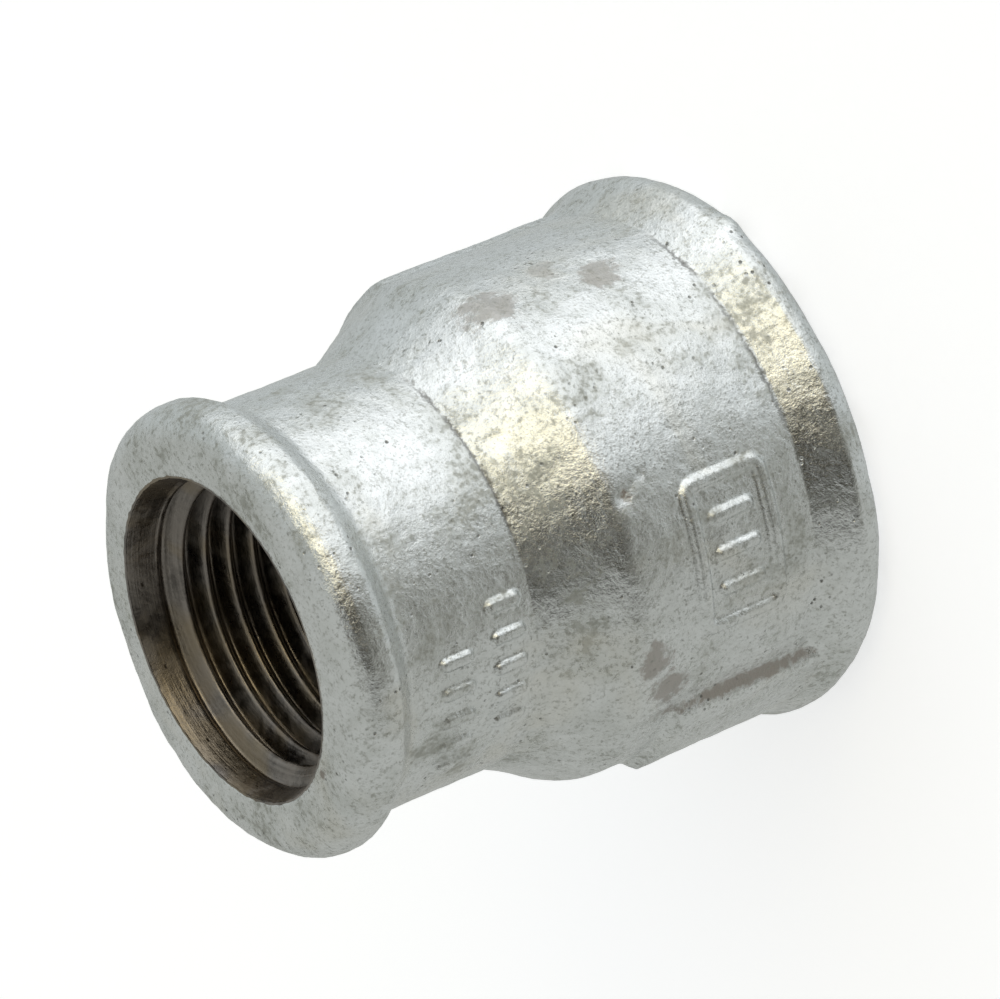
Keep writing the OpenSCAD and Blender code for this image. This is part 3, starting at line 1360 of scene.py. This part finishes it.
@dataclass(frozen=True)
class Camera:
    """The camera's lens and its place round the object."""

    lens: float = 216.0
    sensor: float = 36.0
    target: Triple = (1.1894, -1.5820, 17.3394)
    distance: float = 383.029
    azimuth: float = -14.404
    elevation: float = 29.780
    roll: float = -112.448

    def axes(self) -> tuple[Vector, Vector, Vector]:
        """Gives the directions to the right of the picture, up in it, and back to the camera."""
        a, e, turn = (math.radians(x) for x in (self.azimuth, self.elevation, self.roll))
        back = Vector((math.sin(a) * math.cos(e), -math.cos(a) * math.cos(e), math.sin(e)))
        level = Vector((0, 0, 1)).cross(back).normalized()
        up = back.cross(level)
        right = level * math.cos(turn) + up * math.sin(turn)
        return right, up * math.cos(turn) - level * math.sin(turn), back

    def place(self) -> None:
        """Puts the camera in the scene."""
        data = bpy.data.cameras.new("camera")
        data.lens, data.sensor_width = self.lens, self.sensor
        data.clip_start, data.clip_end = 0.01, 20.0
        camera = bpy.data.objects.new("camera", data)
        bpy.context.scene.collection.objects.link(camera)
        right, up, back = self.axes()
        turn = Matrix((right, up, back)).transposed().to_4x4()
        camera.matrix_world = Matrix.Translation((Vector(self.target) + back * self.distance) * MM) @ turn
        bpy.context.scene.camera = camera


@dataclass(frozen=True)
class Glow:
    """A soft-edged patch of the studio's walls: its place from the camera's side, its size and colour.

    across and up are angles from the direction of the camera, to the right and upwards.
    """

    across: float
    up: float
    core: float
    edge: float
    colour: Colour

    def direction(self) -> Vector:
        """Gives the patch's direction, as right, up and back."""
        angle = math.hypot(self.across, self.up)
        s = math.sin(math.radians(angle)) / max(angle, 1e-6)
        return Vector((self.across * s, self.up * s, math.cos(math.radians(angle))))


@dataclass
class Studio:
    """The pale floor and the soft light of a white tent, with a dark gap and a warm wall near the camera."""

    camera: Camera
    ceiling: Colour = (0.56, 0.595, 0.595)
    wall: Colour = (0.45, 0.46, 0.435)
    glows: tuple[Glow, ...] = (
        Glow(2.0, 66.0, 16.0, 60.0, (1.30, 1.33, 1.33)),
        Glow(46.0, -6.0, 12.0, 36.0, (0.20, 0.20, 0.175)),
        Glow(24.0, -16.0, 14.0, 29.0, (0.030, 0.028, 0.022)),
        Glow(3.0, -13.0, 11.0, 21.0, (0.025, 0.022, 0.017)),
        Glow(15.0, 12.0, 6.0, 16.0, (0.42, 0.37, 0.26)),
        Glow(-4.0, 20.0, 9.0, 12.5, (1.80, 1.62, 1.15)),
        Glow(-18.0, 30.0, 12.0, 14.5, (1.95, 1.78, 1.28)),
    )
    floor_size: float = 3.0

    def light(self) -> None:
        """Lights the scene from all round."""
        world = bpy.data.worlds.new("tent")
        bpy.context.scene.world = world
        sheet = NodeSheet(world)
        towards = sheet.add("ShaderNodeTexCoord").out("Generated")
        right, up, back = self.camera.axes()
        height = self.along(sheet, towards, up)
        colour = sheet.mix(height.rise(-0.3, 0.6), self.wall, self.ceiling)
        for glow in self.glows:
            place = glow.direction()
            middle = right * place.x + up * place.y + back * place.z
            near = self.along(sheet, towards, middle)
            share = near.rise(math.cos(math.radians(glow.edge)), math.cos(math.radians(glow.core)))
            colour = sheet.mix(share, colour, glow.colour)
        made = sheet.add("ShaderNodeBackground", None, {"Color": colour, "Strength": 1.0})
        sheet.add("ShaderNodeOutputWorld", None, {"Surface": made.out()})

    @staticmethod
    def along(sheet: NodeSheet, towards: Socket, axis: Vector) -> Value:
        """Gives how far a direction points along an axis.

        Args:
            sheet: The world's nodes.
            towards: The direction.
            axis: The axis.

        Returns:
            The share, from -1 to 1.
        """
        inputs = {0: towards, 1: tuple(axis)}
        return sheet.add("ShaderNodeVectorMath", {"operation": "DOT_PRODUCT"}, inputs).value("Value")

    def floor(self) -> bpy.types.Object:
        """Lays the floor under the large end.

        Returns:
            The floor.
        """
        bm = bmesh.new()
        bmesh.ops.create_grid(bm, x_segments=4, y_segments=4, size=self.floor_size / 2)
        mesh = bpy.data.meshes.new("floor")
        bm.to_mesh(mesh)
        bm.free()
        mesh.materials.append(PaleFloor().material())
        made = bpy.data.objects.new("floor", mesh)
        made.visible_glossy = False
        bpy.context.scene.collection.objects.link(made)
        return made


def report(piece: bpy.types.Object) -> None:
    """Reports a piece's size in triangles."""
    triangles = sum(len(p.vertices) - 2 for p in piece.data.polygons)
    LOG.info("%s: %d triangles", piece.name, triangles)


def main() -> None:
    """Builds every piece in order, then the studio."""
    logging.basicConfig(level=logging.INFO, format="%(name)s: %(message)s", stream=sys.stdout)
    zinc = ZincOutside()
    for sub_assembly in (zinc, IronBody(zinc), ZincPassage()):
        report(sub_assembly.dress())
    camera = Camera()
    camera.place()
    studio = Studio(camera)
    studio.light()
    studio.floor()
    bpy.context.scene.view_settings.view_transform = "Standard"


if __name__ == "__main__":
    main()
